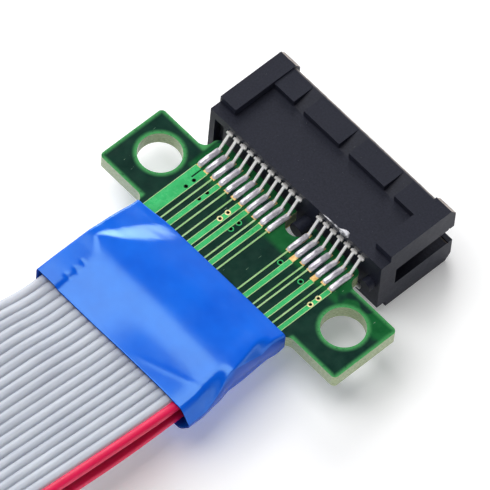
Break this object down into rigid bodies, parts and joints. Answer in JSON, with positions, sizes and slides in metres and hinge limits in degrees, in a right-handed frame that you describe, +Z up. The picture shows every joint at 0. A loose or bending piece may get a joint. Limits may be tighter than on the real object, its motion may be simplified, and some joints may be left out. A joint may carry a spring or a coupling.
{
  "type": "card slot ribbon extender",
  "caption": "Short open-ended card edge slot on a small eared circuit board, extended by two stacked flat ribbon cables to an edge plug board.",
  "frame": {"origin": "middle of the bottom of the slot end's box, on the plane that its end flanges stand on", "axes": "+X along the slot, +Y out of the slot's mouth, +Z up, square to the circuit board"},
  "size_m": [0.034, 0.1926, 0.009],
  "materials": {
    "housing_plastic": "moulded, fine satin grain",
    "board_green": "glossy green solder mask on glass fibre board",
    "mask_over_copper": "glossy light green mask over copper",
    "gold": "gold plated",
    "solder": "bright solder",
    "bare_copper": "bare copper",
    "contact_tin": "bright tin plate",
    "tape_blue": "glossy soft insulating tape",
    "ribbon_grey": "smooth satin insulation with one red edge wire"
  },
  "bodies": {
    "root": {"slot_housing": "housing_plastic", "slot_board": "board_green", "plug_board": "board_green", "slot_traces_top": "mask_over_copper", "slot_traces_bottom": "mask_over_copper", "plug_traces_top": "mask_over_copper", "plug_traces_bottom": "mask_over_copper", "slot_pads_top": "gold", "slot_pads_bottom": "gold", "slot_vias": "gold", "plug_fingers_top": "gold", "plug_fingers_bottom": "gold", "slot_solder_top": "solder", "slot_solder_bottom": "solder", "slot_wire_solder": "solder", "plug_wire_solder": "solder", "slot_wire_ends": "bare_copper", "plug_wire_ends": "bare_copper", "slot_tape": "tape_blue", "plug_tape": "tape_blue", "ribbon_upper": "ribbon_grey", "ribbon_lower": "ribbon_grey", "contact_a01": "contact_tin", "contact_a02": "contact_tin", "contact_a03": "contact_tin", "contact_a04": "contact_tin", "contact_a05": "contact_tin", "contact_a06": "contact_tin", "contact_a07": "contact_tin", "contact_a08": "contact_tin", "contact_a09": "contact_tin", "contact_a10": "contact_tin", "contact_a11": "contact_tin", "contact_a12": "contact_tin", "contact_a13": "contact_tin", "contact_a14": "contact_tin", "contact_a15": "contact_tin", "contact_a16": "contact_tin", "contact_a17": "contact_tin", "contact_a18": "contact_tin", "contact_b01": "contact_tin", "contact_b02": "contact_tin", "contact_b03": "contact_tin", "contact_b04": "contact_tin", "contact_b05": "contact_tin", "contact_b06": "contact_tin", "contact_b07": "contact_tin", "contact_b08": "contact_tin", "contact_b09": "contact_tin", "contact_b10": "contact_tin", "contact_b11": "contact_tin", "contact_b12": "contact_tin", "contact_b13": "contact_tin", "contact_b14": "contact_tin", "contact_b15": "contact_tin", "contact_b16": "contact_tin", "contact_b17": "contact_tin", "contact_b18": "contact_tin"}
  },
  "joints": []
}
